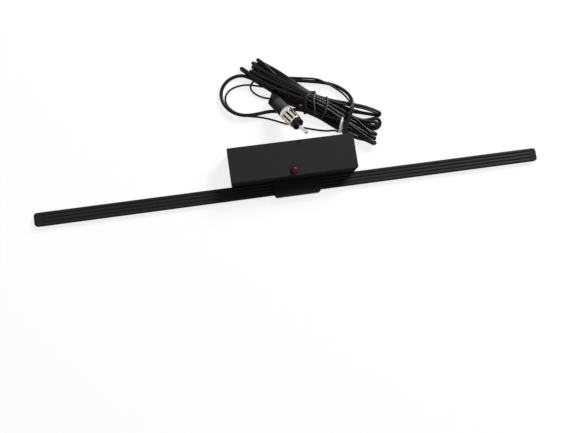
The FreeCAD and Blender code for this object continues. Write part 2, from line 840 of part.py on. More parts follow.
def make_cable(name, points, diameter):
    """A round tube along a route, less what lies inside the hank."""
    path, radii = rounded_path(points)
    first = V(*points[0])
    ring = Part.Circle(first, V(*points[1]) - first, diameter / 2).toShape()
    tube = path.makePipeShell([Part.Wire(ring)], True, False)
    expected = math.pi * diameter ** 2 / 4 * path.Length
    print(f"{name}: length {path.Length:.1f}, volume {tube.Volume:.1f} for {expected:.1f},"
          f" least radius {min(radii):.1f}, radii {[round(r, 1) for r in radii]}")
    return tube


def hank_frame():
    """Placement of the hank's stations: X along the hank, Y across it."""
    turn = FreeCAD.Rotation(V(0, 0, 1), hank_heading)
    return FreeCAD.Placement(V(hank_centre[0], hank_centre[1], 0), turn)


def hank_station(along, low, high, bottom, top):
    """Outline of the hank across one station: a flat foot under a round back."""
    middle = (low + high) / 2
    back = Part.Arc(V(along, low, bottom), V(along, middle, top), V(along, high, bottom))
    foot = Part.LineSegment(V(along, high, bottom), V(along, low, bottom))
    return Part.Wire([back.toShape(), foot.toShape()])


def make_cable_hank():
    """Outer shape of the folded turns: fanned out at both ends, drawn in under the ties."""
    outlines = [hank_station(*section) for section in hank_sections]
    solid = Part.makeLoft(outlines, True, True)
    solid.Placement = hank_frame()
    return solid


def hank_at(along):
    """The hank's sides, lift and height at a place between two stations."""
    for a, b in zip(hank_sections, hank_sections[1:]):
        if a[0] <= along <= b[0]:
            share = (along - a[0]) / (b[0] - a[0])
            return [p + share * (q - p) for p, q in zip(a[1:], b[1:])]


def make_tie(place, width, hank):
    """A band drawn round the hank."""
    outlines = []
    for along in (place - width / 2, place + width / 2):
        low, high, lift, height = hank_at(along)
        outlines.append(hank_station(along, low - 2 * tie_thickness, high + 2 * tie_thickness,
                                     lift - tie_thickness, height + tie_thickness))
    band = Part.makeLoft(outlines, True, True)
    band.Placement = hank_frame()
    return band.cut(hank)


def make_twist_tie(hank):
    """Flat tie with its two ends twisted together beside the hank."""
    low, high, lift, height = hank_at(twist_tie_place)
    start = V(twist_tie_place, high + tie_thickness, lift + twist_end_radius)
    twist = Part.makeCone(twist_end_radius, twist_end_radius / 2, twist_end_length, start,
                          V(*twist_end_direction))
    twist.Placement = hank_frame()
    return make_tie(twist_tie_place, twist_tie_width, hank).fuse(twist).removeSplitter()


def make_lead_terminal():
    """Crimp terminal: a barrel on the lead that tapers into a thin pin."""
    base = V(*terminal_base)
    axis = V(*terminal_tip) - base
    length = axis.Length
    body = turned(half_section([(0, terminal_bore_depth), (terminal_bore_radius, terminal_bore_depth),
                                (terminal_bore_radius, 0), (terminal_barrel_radius, 0),
                                (terminal_barrel_radius, terminal_barrel_length),
                                (terminal_tip_radius, length), (0, length)]))
    body.Placement = FreeCAD.Placement(base, FreeCAD.Rotation(V(0, 0, 1), axis))
    return body


def terminal_point(distance):
    """A point on the terminal's axis, from its rear end."""
    base = V(*terminal_base)
    axis = V(*terminal_tip) - base
    axis.normalize()
    return tuple(base + axis * distance)


# The whole antenna, one solid or group of like solids a node

hank = make_cable_hank()
exit_ends = (cable_start_y, cable_start_y + exit_straight)
coax_exit = [(coax_exit_x, y, coax_exit_z) for y in exit_ends]
lead_exit = [(lead_exit_x, y, lead_exit_z) for y in exit_ends]
plug_end = [tuple(plug_point(boot_cable_depth)), tuple(plug_point(-plug_cable_straight))]
terminal_end = [terminal_point(-terminal_lead_straight), terminal_point(terminal_bore_depth)]

nodes = {
    "case_cover": make_case_cover(),
    "case_base": make_case_base(),
    "case_screws": make_case_screws(),
    "case_pad": make_case_pad(),
    "cable_grommet": make_cable_grommet(),
    "indicator_led": make_indicator_led(),
    "led_legs": make_led_legs(),
    "electrolytic_capacitor": make_electrolytic(),
    "transistors": make_transistors(),
    "ceramic_capacitors": make_ceramic_capacitors(),
    "resistors": make_resistors(),
    "choke_core": make_choke_core(),
    "choke_winding": make_choke_winding(),
    "feed_contact": make_feed_contact(),
    "coax_tail": make_coax_tail(),
    "lead_tail": make_lead_tail(),
    "circuit_board": make_circuit_board(),
    "antenna_strip": make_antenna_strip(),
    "strip_conductor": make_strip_conductor(),
    "strip_tape_left": make_strip_tape(-1),
    "strip_tape_right": make_strip_tape(1),
    "cable_hank": hank,
    "coax_box_run": make_cable("coax_box_run", coax_exit + coax_box_route, coax_diameter).cut(hank),
    "coax_side_loop": make_cable("coax_side_loop", coax_loop_route, coax_diameter).cut(hank),
    "coax_plug_run": make_cable("coax_plug_run", plug_end + coax_plug_route, coax_diameter).cut(hank),
    "lead_box_run": make_cable("lead_box_run", lead_exit + lead_box_route, lead_diameter).cut(hank),
    "lead_small_loop": make_cable("lead_small_loop", lead_loop_route, lead_diameter).cut(hank),
    "lead_end_run": make_cable("lead_end_run", lead_end_route + terminal_end, lead_diameter).cut(hank),
    "lead_terminal": make_lead_terminal(),
    "twist_tie": make_twist_tie(hank),
    "wire_ties": Part.makeCompound([make_tie(place, wire_tie_width, hank) for place in wire_tie_places]),
}

plug_pieces = {
    "plug_boot": make_plug_boot(),
    "plug_shell": make_plug_shell(),
    "plug_insulator": make_plug_insulator(),
    "plug_pin": make_plug_pin(),
}
for name, piece in plug_pieces.items():
    piece.Placement = plug_placement()
    nodes[name] = piece

os.makedirs("parts", exist_ok=True)
for name, shape in nodes.items():
    print(f"{name}: {len(shape.Solids)} solid, volume {shape.Volume:.1f}, valid {shape.isValid()}")
    shape.exportStep(f"parts/{name}.step")
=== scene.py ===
"""Looks of the hidden car radio antenna: cables, ties, materials, light and camera round the CAD frame.

Lengths are written in millimetres and multiplied by MM where Blender needs metres.
"""

import json
import math

import bmesh
import bpy
from mathutils import Matrix, Vector


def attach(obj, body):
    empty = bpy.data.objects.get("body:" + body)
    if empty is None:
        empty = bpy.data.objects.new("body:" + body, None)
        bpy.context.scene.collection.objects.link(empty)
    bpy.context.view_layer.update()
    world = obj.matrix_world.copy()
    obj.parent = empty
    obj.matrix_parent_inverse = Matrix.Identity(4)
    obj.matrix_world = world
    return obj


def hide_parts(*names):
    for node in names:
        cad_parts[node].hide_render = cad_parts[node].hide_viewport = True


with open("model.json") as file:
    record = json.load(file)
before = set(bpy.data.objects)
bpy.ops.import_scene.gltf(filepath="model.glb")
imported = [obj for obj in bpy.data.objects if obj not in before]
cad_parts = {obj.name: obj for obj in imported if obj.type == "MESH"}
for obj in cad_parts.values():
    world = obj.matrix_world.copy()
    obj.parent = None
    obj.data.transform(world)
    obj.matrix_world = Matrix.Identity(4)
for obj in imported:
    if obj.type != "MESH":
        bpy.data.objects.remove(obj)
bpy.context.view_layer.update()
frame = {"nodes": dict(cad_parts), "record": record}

nodes = frame["nodes"]
MM = 0.001

# Camera of the photograph, in the part's frame
CAMERA_PLACE = (-44.7, -80.8, 396.3)
CAMERA_RIGHT = (0.9864, -0.1449, 0.0772)
CAMERA_UP = (0.1347, 0.9831, 0.1241)
CAMERA_BACK = (-0.0939, -0.1120, 0.9893)
CAMERA_SENSOR = 36.0
CAMERA_LENS = 37.43
CAMERA_NEAR = 10.0

# Lamp, its power in watts
LAMP_PLACE = (1050.0, 1000.0, 950.0)
LAMP_TARGET = (0.0, 20.0, 0.0)
LAMP_SIZE = 660.0
LAMP_POWER = 41.5

# Sky and floor: their light and tone, and the white added for what the camera and reflections see
SKY_LIGHT = 0.12
SKY_GLOW = 0.88
FLOOR_TONE = 0.2
FLOOR_ROUGHNESS = 0.9
FLOOR_GLOW = 0.84
FLOOR_HALF_WIDTH = 3000.0
FLOOR_DROP = 0.05

# Cables: sizes, exits from the box, longest leg of a route as a multiple of a short one beside it, fineness
COAX_DIAMETER = 2.4
LEAD_DIAMETER = 1.3
COAX_EXIT = (38.1, 12.65, 7.0)
LEAD_EXIT = (36.5, 12.65, 8.9)
EXIT_STRAIGHT = 3.0
LEG_GROWTH = 2.0
TUBE_ROUNDNESS = 5
TUBE_STEPS = 6

# Hank: its centre on the surface, the heading of its long axis, and the places of the points along each run
HANK_CENTRE = (21.0, 37.5)
HANK_HEADING = -34.2
STATIONS = (-43, -32, -19, -5, 8, 20, 32, 42)
LEFT = -1
RIGHT = 1
OCTAGON_HALF_ANGLE = 22.5

# Waist of the hank, where the ties hold it: its section, and the place from which its middle drifts across
WAIST_HALF_WIDTH = 7.3
WAIST_MIDDLE = 2.7
WAIST_BACK = 6.1
WAIST_FOOT = 2.1
FOOT_POWER = 0.7
WAIST_START = -5.0
WAIST_DRIFT = 0.11

# Ties round the waist: distance along it, slant across it, bow along it, (width, thickness);
# the twisted ends run between two places in the hank
TWIST_TIE = {"place": -4.2, "slant": -0.10, "bow": -2.0, "section": (1.9, 0.6)}
TWIST_ENDS = [
    ((-5.0, 5.4, 6.0), (-2.9, 7.2, 5.4)),
    ((-3.6, -6.8, 3.2), (-2.6, -8.6, 2.0)),
]
TWIST_END_SECTION = (2.3, 1.6)
TWIST_END_TURNS = 1.25
WIRE_TIES = [
    {"place": 0.8, "slant": -0.45, "bow": -1.9, "section": (1.1, 0.9)},
    {"place": 7.2, "slant": -0.24, "bow": 1.3, "section": (1.1, 0.9)},
]
BAND_STEPS = 96
BAND_RING = 8
TWIST_END_STEPS = 24
TWIST_END_RING = 12

# Changes of tone: painted shade on the hood and the box's front wall, fading out towards the box along Y;
# and from the boot's flange to its body along the plug
HOOD_SHADE_EDGE = (-12.1, -11.4)
PLUG_AXIS = (0.46228, -0.78795, 0.40674)
BOOT_EDGE = (-32.06, -31.36)

# Noise in the materials: the part of its range in use, levels of detail, and stretch along the part's axes
NOISE_RANGE = (0.3, 0.7)
MOTTLE_DETAIL = 4.0
GRAIN_DETAIL = 2.0
EVEN = (1.0, 1.0, 1.0)
ALONG_X = (0.08, 1.0, 1.0)

# Moulded finish in two tones, the darker one painted shade on the case: features a metre, relief as
# (strength, depth), levels of the lighter tone
MOULD_MOTTLE = 200
MOULD_GRAIN = 4800
MOULD_RELIEF = (0.35, 0.03)
MOULD_LIGHT_LEVELS = (0.62, 0.7)

# Red lens of the indicator
LENS_DARK = (0.080, 0.0008, 0.005)
LENS_LIGHT = (0.135, 0.0015, 0.009)
LENS_MOTTLE = 500
LENS_ROUGHNESS = 0.10
LENS_SPECULAR = 0.14


# Cable routes

def hank(along, across, height):
    """A point of the hank in the part's frame."""
    turn = math.radians(HANK_HEADING)
    x = HANK_CENTRE[0] + along * math.cos(turn) - across * math.sin(turn)
    y = HANK_CENTRE[1] + along * math.sin(turn) + across * math.cos(turn)
    return (x, y, height)


def strand(across, heights, stations=STATIONS):
    """One run of a turn along the hank, from its left end to its right end."""
    return [hank(s, v, z) for s, v, z in zip(stations, across, heights)]


def fold(tip, side, start, end):
    """The half turn at one end of the hank, from one strand's (across, height) to the next one's."""
    half = ((end[0] - start[0]) / 2, (end[1] - start[1]) / 2)
    middle = (start[0] + half[0], start[1] + half[1])
    radius = math.hypot(*half)
    corner = math.tan(math.radians(OCTAGON_HALF_ANGLE))
    shape = ((corner, -1.0), (1.0, -corner), (1.0, corner), (corner, 1.0))
    return [hank(tip - side * radius * (1 - out), middle[0] + share * half[0], middle[1] + share * half[1])
            for out, share in shape]


def back(points):
    """The same run taken from right to left."""
    return points[::-1]


COAX_BOX_ROUTE = [
    COAX_EXIT,
    (COAX_EXIT[0], COAX_EXIT[1] + EXIT_STRAIGHT, COAX_EXIT[2]),
    (40.2, 19.0, 7.4),
    (43.4, 25.0, 7.8),
    (46.4, 31.6, 7.2),
    (47.0, 37.6, 5.2),
    (44.9, 43.6, 2.2),
    (38.9, 49.2, 1.4),
    (29.4, 52.9, 1.4),
    (18.1, 54.9, 1.6),
    (7.5, 56.8, 1.8),
    hank(-30.0, 7.2, 2.2),
    hank(-35.0, 6.3, 3.4),
    hank(-40.0, 7.9, 4.8),
]
COAX_SIDE_ROUTE = [
    (-12.6, 55.6, 2.5),
    (-18.5, 61.2, 1.7),
    (-25.5, 64.6, 1.3),
    (-34.1, 62.5, 1.3),
    (-40.2, 56.0, 1.3),
    (-40.8, 47.3, 1.6),
    (-36.3, 39.7, 2.7),
    (-28.1, 35.4, 2.75),
    (-18.5, 35.4, 2.7),
    (-9.0, 36.9, 1.6),
    (-1.2, 35.4, 1.3),
    (7.0, 36.2, 1.6),
]
COAX_PLUG_ROUTE = [
    hank(-21.5, 0.9, 3.6),
    hank(-25.6, 0.8, 3.0),
    (-2.2, 51.7, 2.7),
    (-4.1, 50.1, 2.6),
    (-6.0, 47.7, 2.7),
    (-7.07, 44.98, 3.33),
    (-2.73, 37.57, 7.15),
]
LEAD_BOX_ROUTE = [
    LEAD_EXIT,
    (LEAD_EXIT[0], LEAD_EXIT[1] + EXIT_STRAIGHT, LEAD_EXIT[2]),
    (38.6, 18.8, 9.0),
    (42.1, 24.8, 9.3),
    (45.3, 31.4, 8.8),
    (44.6, 36.9, 6.0),
    (42.1, 43.0, 2.4),
    (37.6, 47.8, 1.2),
    (32.0, 51.6, 2.4),
    (26.0, 55.0, 3.3),
    (17.5, 56.7, 2.6),
    (8.0, 58.4, 2.2),
    hank(-29.0, 6.2, 4.4),
    hank(-34.5, 6.2, 6.0),
    hank(-40.0, 8.3, 6.6),
]
LEAD_LOOP_ROUTE = [
    (-11.0, 58.0, 2.0),
    (-15.5, 59.6, 1.4),
    (-19.2, 58.0, 1.0),
    (-20.4, 54.2, 0.8),
    (-17.8, 50.2, 0.8),
    (-13.0, 47.1, 0.8),
    (-8.0, 45.7, 0.8),
    (-3.0, 46.2, 1.0),
]
LEAD_END_ROUTE = [
    (-9.0, 53.4, 2.3),
    (-14.5, 54.8, 2.3),
    (-20.5, 56.6, 2.4),
    (-27.5, 57.2, 1.2),
    (-34.3, 55.4, 0.7),
    (-38.5, 50.2, 0.7),
    (-37.5, 43.9, 0.7),
    (-32.4, 38.6, 0.7),
    (-25.0, 35.3, 0.7),
    (-17.0, 34.0, 0.7),
    (-8.5, 31.0, 0.7),
    (0.5, 26.8, 0.7),
    (11.0, 23.1, 0.7),
    (20.0, 20.3, 0.7),
    (27.0, 18.6, 0.7),
    (33.4, 18.3, 0.7),
    (35.5, 16.2, 1.6),
    (36.46, 18.08, 3.48),
]

# The coaxial cable from the box through the hank's turns and the side loop to the plug
COAX_STRETCHES = [
    COAX_BOX_ROUTE,
    fold(tip=-47.6, side=LEFT, start=(10.0, 5.0), end=(10.4, 2.6)),
    strand(across=(10.1, 9.1, 7.0, 4.9, 6.9, 10.9, 14.3, 15.1),
           heights=(2.8, 4.2, 5.4, 4.6, 4.4, 3.8, 3.6, 3.7),
           stations=STATIONS[:-1] + (39.5,)),
    fold(tip=43.4, side=RIGHT, start=(15.2, 3.7), end=(13.5, 1.4)),
    back(strand(across=(9.2, 9.0, 7.9, 6.6, 6.0, 7.0, 8.0, 10.3, 12.8),
                heights=(1.3, 1.3, 1.4, 1.8, 2.1, 2.1, 1.6, 1.4, 1.4),
                stations=(-43, -38) + STATIONS[1:-1] + (39.5,))),
    fold(tip=-49.8, side=LEFT, start=(7.9, 1.3), end=(6.4, 4.0)),
    strand(across=(6.1, 4.6, 3.2, 2.4, 3.7, 3.0, 4.2, 6.6, 10.4),
           heights=(4.0, 3.5, 3.8, 4.2, 4.2, 3.2, 2.4, 2.2, 2.0),
           stations=STATIONS[:-1] + (37, 41)),
    fold(tip=46.6, side=RIGHT, start=(11.7, 1.9), end=(3.6, 1.4)),
    back(strand(across=(4.2, 3.0, 3.2, 3.9, 5.2, 4.2, 4.0, 3.7),
                heights=(1.3, 1.4, 1.7, 2.1, 2.1, 1.5, 1.3, 1.3))),
    fold(tip=-48.4, side=LEFT, start=(4.3, 1.3), end=(4.4, 5.6)),
    strand(across=(4.3, 4.1, 4.2, 3.6, 4.9, 2.9, 4.2, 5.6),
           heights=(5.7, 5.9, 6.6, 6.2, 5.6, 4.6, 4.2, 3.9),
           stations=STATIONS[:-1] + (37,)),
    fold(tip=44.4, side=RIGHT, start=(7.9, 3.9), end=(5.1, 3.0)),
    back(strand(across=(0.5, 0.6, 0.9, 1.5, 2.8, 2.4, 2.9, 4.2),
                heights=(1.3, 1.4, 1.7, 2.1, 2.1, 2.0, 2.8, 2.9),
                stations=STATIONS[:-1] + (39,))),
    fold(tip=-48.3, side=LEFT, start=(0.8, 1.3), end=(0.9, 5.0)),
    strand(across=(0.4, 0.3, 0.8, 1.7, 2.6, 0.9, 0.8, 0.4),
           heights=(5.2, 5.6, 6.6, 7.2, 6.6, 5.0, 4.2, 3.9)),
    fold(tip=46.9, side=RIGHT, start=(0.5, 3.8), end=(0.5, 1.3)),
    back(strand(across=(-2.0, -2.5, -2.9, -3.4, -3.5, -2.5, 0.0, 0.4, 0.6, 0.4),
                heights=(1.3, 1.4, 1.5, 1.7, 1.8, 2.0, 2.1, 1.5, 1.3, 1.3),
                stations=(-43, -32, -26, -19, -12) + STATIONS[3:])),
    fold(tip=-55.0, side=LEFT, start=(-0.2, 1.3), end=(0.0, 3.7)),
    strand(across=(-1.1, -2.4, -3.1, -2.8, -0.7, 0.2, -1.3, -1.8, -2.3),
           heights=(4.2, 4.8, 5.8, 6.6, 7.3, 6.8, 5.2, 4.4, 4.0),
           stations=(-49,) + STATIONS),
    fold(tip=47.4, side=RIGHT, start=(-2.4, 3.9), end=(-2.6, 1.3)),
    back(strand(across=(-4.2, -5.2, -7.0, -7.2, -4.9, -2.7, -3.75, -3.2, -3.0),
                heights=(2.2, 2.2, 2.6, 3.0, 2.5, 2.4, 1.6, 1.3, 1.3),
                stations=(-32, -26, -19, -12) + STATIONS[3:])),
    COAX_SIDE_ROUTE,
    strand(across=(-6.9, -6.2, -7.3, -7.2, -7.2, -5.6),
           heights=(2.4, 2.2, 1.5, 1.3, 1.3, 1.3),
           stations=STATIONS[3:-1] + (37, 42)),
    fold(tip=49.0, side=RIGHT, start=(-5.6, 1.3), end=(-5.2, 3.9)),
    back(strand(across=(-0.6, -2.6, -1.6, -4.0, -4.6, -4.9),
                heights=(4.2, 4.4, 4.4, 4.2, 4.0, 4.0),
                stations=(-14,) + STATIONS[3:])),
    COAX_PLUG_ROUTE,
]

# The power lead from the box through the hank and its small loop to the terminal
LEAD_STRETCHES = [
    LEAD_BOX_ROUTE,
    fold(tip=-45.8, side=LEFT, start=(9.7, 6.6), end=(9.4, 4.6)),
    strand(across=(8.8, 6.6, 5.7, 4.4, 6.0, 9.0, 12.5, 13.5),
           heights=(4.6, 5.2, 6.6, 6.2, 5.9, 5.0, 4.6, 4.2),
           stations=STATIONS[:-1] + (38,)),
    fold(tip=42.0, side=RIGHT, start=(13.9, 3.8), end=(13.3, 2.4)),
    back(strand(across=(2.6, 2.0, 2.0, 2.7, 5.4, 6.3, 7.5, 9.9, 12.6),
                heights=(0.8, 0.8, 0.9, 1.55, 1.6, 1.6, 1.4, 2.1, 2.2),
                stations=STATIONS[:-2] + (26, 33, 39))),
    fold(tip=-46.0, side=LEFT, start=(2.7, 0.8), end=(2.6, 4.6)),
    strand(across=(2.5, 2.2, 2.5, 3.0, 4.1, 4.4, 3.5, 1.7, -0.8),
           heights=(5.0, 6.2, 7.2, 7.9, 7.3, 5.8, 5.6, 5.6, 5.4),
           stations=STATIONS[:6] + (29, 34, 42)),
    fold(tip=46.0, side=RIGHT, start=(-1.0, 5.2), end=(-1.0, 0.8)),
    back(strand(across=(-1.0, -2.0, -1.6, -0.4, 0.4, 0.9, -1.4, -1.3, -1.0),
                heights=(0.9, 0.9, 1.0, 1.4, 1.5, 1.2, 0.8, 0.8, 0.8),
                stations=(-32, -19, -12, -5, 2) + STATIONS[4:])),
    LEAD_LOOP_ROUTE,
    strand(across=(-6.6, -6.9, -5.0, -2.6, -2.1, -3.4, -4.7),
           heights=(1.6, 4.3, 5.0, 6.0, 5.6, 5.5, 5.3),
           stations=STATIONS[2:6] + (27, 33, 42)),
    fold(tip=49.4, side=RIGHT, start=(-6.0, 5.0), end=(-5.6, 0.9)),
    back(strand(across=(-4.4, -4.95, -4.85, -4.3, -5.25, -5.0, -4.8),
                heights=(1.3, 0.9, 1.5, 1.5, 0.8, 0.7, 0.8),
                stations=(-26,) + STATIONS[2:])),
    LEAD_END_ROUTE,
]


def eased(stretches):
    """All stretches as one route, with points added so that its legs shorten towards tight bends."""
    points = [Vector(place) for stretch in stretches for place in stretch]
    legs = [(ahead - point).length for point, ahead in zip(points, points[1:])]
    route = [points[0]]
    for index, leg in enumerate(legs):
        before = legs[max(index - 1, 0)]
        after = legs[min(index + 1, len(legs) - 1)]
        if leg > LEG_GROWTH * before:
            route.append(points[index].lerp(points[index + 1], before / leg))
        if leg > LEG_GROWTH * after:
            route.append(points[index].lerp(points[index + 1], 1 - after / leg))
        route.append(points[index + 1])
    return route


def cable(name, points, diameter, material):
    """A round cable on one open smooth spline."""
    data = bpy.data.curves.new(name, "CURVE")
    data.dimensions = "3D"
    data.bevel_depth = diameter / 2 * MM
    data.bevel_resolution = TUBE_ROUNDNESS
    data.resolution_u = TUBE_STEPS
    data.use_fill_caps = True
    spline = data.splines.new("NURBS")
    spline.points.add(len(points) - 1)
    for point, place in zip(spline.points, points):
        point.co = (*(place * MM), 1.0)
    spline.order_u = 3
    spline.use_endpoint_u = True
    piece = bpy.data.objects.new(name, data)
    bpy.context.scene.collection.objects.link(piece)
    data.materials.append(material)
    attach(piece, "root")
    return piece


# Ties

def waist_outline():
    """Outline across the hank's waist as (across, height): a round back on a flatter foot."""
    outline = []
    for step in range(BAND_STEPS):
        angle = 2 * math.pi * step / BAND_STEPS
        rise = math.sin(angle)
        if rise > 0:
            height = WAIST_MIDDLE + WAIST_BACK * rise
        else:
            height = WAIST_MIDDLE - WAIST_FOOT * abs(rise) ** FOOT_POWER
        outline.append((WAIST_HALF_WIDTH * math.cos(angle), height))
    return outline


def join_rows(mesh, rows):
    """Faces between neighbouring rings of vertices."""
    for row, ahead in rows:
        for step, vertex in enumerate(row):
            following = (step + 1) % len(row)
            mesh.faces.new((vertex, row[following], ahead[following], ahead[step]))


def tie_band(tie):
    """A closed band drawn round the hank's waist, with a rounded section."""
    width, thickness = tie["section"]
    drift = WAIST_DRIFT * (tie["place"] - WAIST_START)
    outline = waist_outline()
    mesh = bmesh.new()
    rows = []
    for index, (across, height) in enumerate(outline):
        before = outline[index - 1]
        after = outline[(index + 1) % len(outline)]
        out = Vector((after[1] - before[1], before[0] - after[0])).normalized()
        bow = tie["bow"] * (1 - (across / WAIST_HALF_WIDTH) ** 2)
        row = []
        for step in range(BAND_RING):
            angle = 2 * math.pi * (step + 0.5) / BAND_RING
            along = tie["place"] + tie["slant"] * across + bow + width / 2 * math.cos(angle)
            push = thickness / 2 * math.sin(angle)
            point = hank(along, across + drift + out.x * push, height + out.y * push)
            row.append(mesh.verts.new(Vector(point) * MM))
        rows.append(row)
    join_rows(mesh, zip(rows, rows[1:] + rows[:1]))
    return mesh


def twisted_end(mesh, start, end):
    """The tie's two ends wound round each other: a flat rounded bar, turned along its length."""
    start = Vector(hank(*start))
    end = Vector(hank(*end))
    width, thickness = TWIST_END_SECTION
    heading = (end - start).to_track_quat("Z", "Y")
    rows = []
    for index in range(TWIST_END_STEPS + 1):
        share = index / TWIST_END_STEPS
        twist = Matrix.Rotation(2 * math.pi * TWIST_END_TURNS * share, 3, "Z")
        row = []
        for step in range(TWIST_END_RING):
            angle = 2 * math.pi * step / TWIST_END_RING
            side = Vector((width / 2 * math.cos(angle), thickness / 2 * math.sin(angle), 0))
            row.append(mesh.verts.new((start.lerp(end, share) + heading @ (twist @ side)) * MM))
        rows.append(row)
    join_rows(mesh, zip(rows, rows[1:]))
    mesh.faces.new(rows[0])
    mesh.faces.new(rows[-1])


def finish_mesh(name, mesh, material):
    """Turns a built mesh into a smooth piece of the object."""
    bmesh.ops.recalc_face_normals(mesh, faces=mesh.faces)
    data = bpy.data.meshes.new(name)
    mesh.to_mesh(data)
    mesh.free()
    for polygon in data.polygons:
        polygon.use_smooth = True
    piece = bpy.data.objects.new(name, data)
    bpy.context.scene.collection.objects.link(piece)
    data.materials.append(material)
    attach(piece, "root")
    return piece


# Materials

def new_material(name):
    """A material with its nodes and its shader."""
    material = bpy.data.materials.new(name)
    material.use_nodes = True
    tree = material.node_tree
    return material, tree, tree.nodes["Principled BSDF"]


def noise(tree, scale, detail, stretch=EVEN):
    """Noise in the part's own coordinates, so many features a metre, stretched along the axes."""
    place = tree.nodes.new("ShaderNodeTexCoord")
    mapping = tree.nodes.new("ShaderNodeMapping")
    mapping.inputs["Scale"].default_value = stretch
    texture = tree.nodes.new("ShaderNodeTexNoise")
    texture.inputs["Scale"].default_value = scale
    texture.inputs["Detail"].default_value = detail
    tree.links.new(place.outputs["Object"], mapping.inputs["Vector"])
    tree.links.new(mapping.outputs["Vector"], texture.inputs["Vector"])
    return texture.outputs["Fac"]


def spread(tree, value, levels):
    """A noise value mapped from its usual range to two levels."""
    ranged = tree.nodes.new("ShaderNodeMapRange")
    ranged.inputs["From Min"].default_value = NOISE_RANGE[0]
    ranged.inputs["From Max"].default_value = NOISE_RANGE[1]
    ranged.inputs["To Min"].default_value = levels[0]
    ranged.inputs["To Max"].default_value = levels[1]
    tree.links.new(value, ranged.inputs["Value"])
    return ranged.outputs["Result"]


def tint(tree, value, dark, light):
    """A colour between two tones."""
    ramp = tree.nodes.new("ShaderNodeValToRGB")
    for element, position, tone in zip(ramp.color_ramp.elements, NOISE_RANGE, (dark, light)):
        element.position = position
        element.color = (*tone, 1.0)
    tree.links.new(value, ramp.inputs["Fac"])
    return ramp.outputs["Color"]


def bump(tree, shader, value, relief):
    """Fine relief from a noise value, as (strength, depth)."""
    node = tree.nodes.new("ShaderNodeBump")
    node.inputs["Strength"].default_value = relief[0]
    node.inputs["Distance"].default_value = relief[1] * MM
    tree.links.new(value, node.inputs["Height"])
    tree.links.new(node.outputs["Normal"], shader.inputs["Normal"])


def surface(name, dark, light, rough, mottle, grain, relief, metallic=0.0, specular=0.5, stretch=EVEN):
    """A procedural finish: mottled colour and roughness over a fine grain in relief."""
    material, tree, shader = new_material(name)
    patches = noise(tree, mottle, MOTTLE_DETAIL, stretch)
    tree.links.new(tint(tree, patches, dark, light), shader.inputs["Base Color"])
    tree.links.new(spread(tree, patches, rough), shader.inputs["Roughness"])
    shader.inputs["Metallic"].default_value = metallic
    shader.inputs["Specular IOR Level"].default_value = specular
    bump(tree, shader, noise(tree, grain, GRAIN_DETAIL, stretch), relief)
    return material


def two_tone_and_shade(name, direction, edge, dark, light, rough, specular):
    """A moulded finish that changes from one tone to the other between two distances along a direction; on
    the case the darker tone is painted shade.
    """
    material, tree, shader = new_material(name)
    place = tree.nodes.new("ShaderNodeTexCoord")
    distance = tree.nodes.new("ShaderNodeVectorMath")
    distance.operation = "DOT_PRODUCT"
    distance.inputs[1].default_value = direction
    tree.links.new(place.outputs["Object"], distance.inputs[0])
    beyond = tree.nodes.new("ShaderNodeMapRange")
    beyond.inputs["From Min"].default_value = edge[0] * MM
    beyond.inputs["From Max"].default_value = edge[1] * MM
    tree.links.new(distance.outputs["Value"], beyond.inputs["Value"])
    tone = tree.nodes.new("ShaderNodeMath")
    tone.operation = "MULTIPLY"
    tree.links.new(beyond.outputs["Result"], tone.inputs[0])
    patches = noise(tree, MOULD_MOTTLE, MOTTLE_DETAIL)
    tree.links.new(spread(tree, patches, MOULD_LIGHT_LEVELS), tone.inputs[1])
    tree.links.new(tint(tree, tone.outputs["Value"], dark, light), shader.inputs["Base Color"])
    tree.links.new(spread(tree, patches, rough), shader.inputs["Roughness"])
    shader.inputs["Specular IOR Level"].default_value = specular
    bump(tree, shader, noise(tree, MOULD_GRAIN, GRAIN_DETAIL), MOULD_RELIEF)
    return material


def red_lens():
    """Tinted resin: a slightly mottled deep red under a smooth glossy skin."""
    material, tree, shader = new_material("red_lens")
    patches = noise(tree, LENS_MOTTLE, MOTTLE_DETAIL)
    tree.links.new(tint(tree, patches, LENS_DARK, LENS_LIGHT), shader.inputs["Base Color"])
    shader.inputs["Roughness"].default_value = LENS_ROUGHNESS
    shader.inputs["Specular IOR Level"].default_value = LENS_SPECULAR
    return material


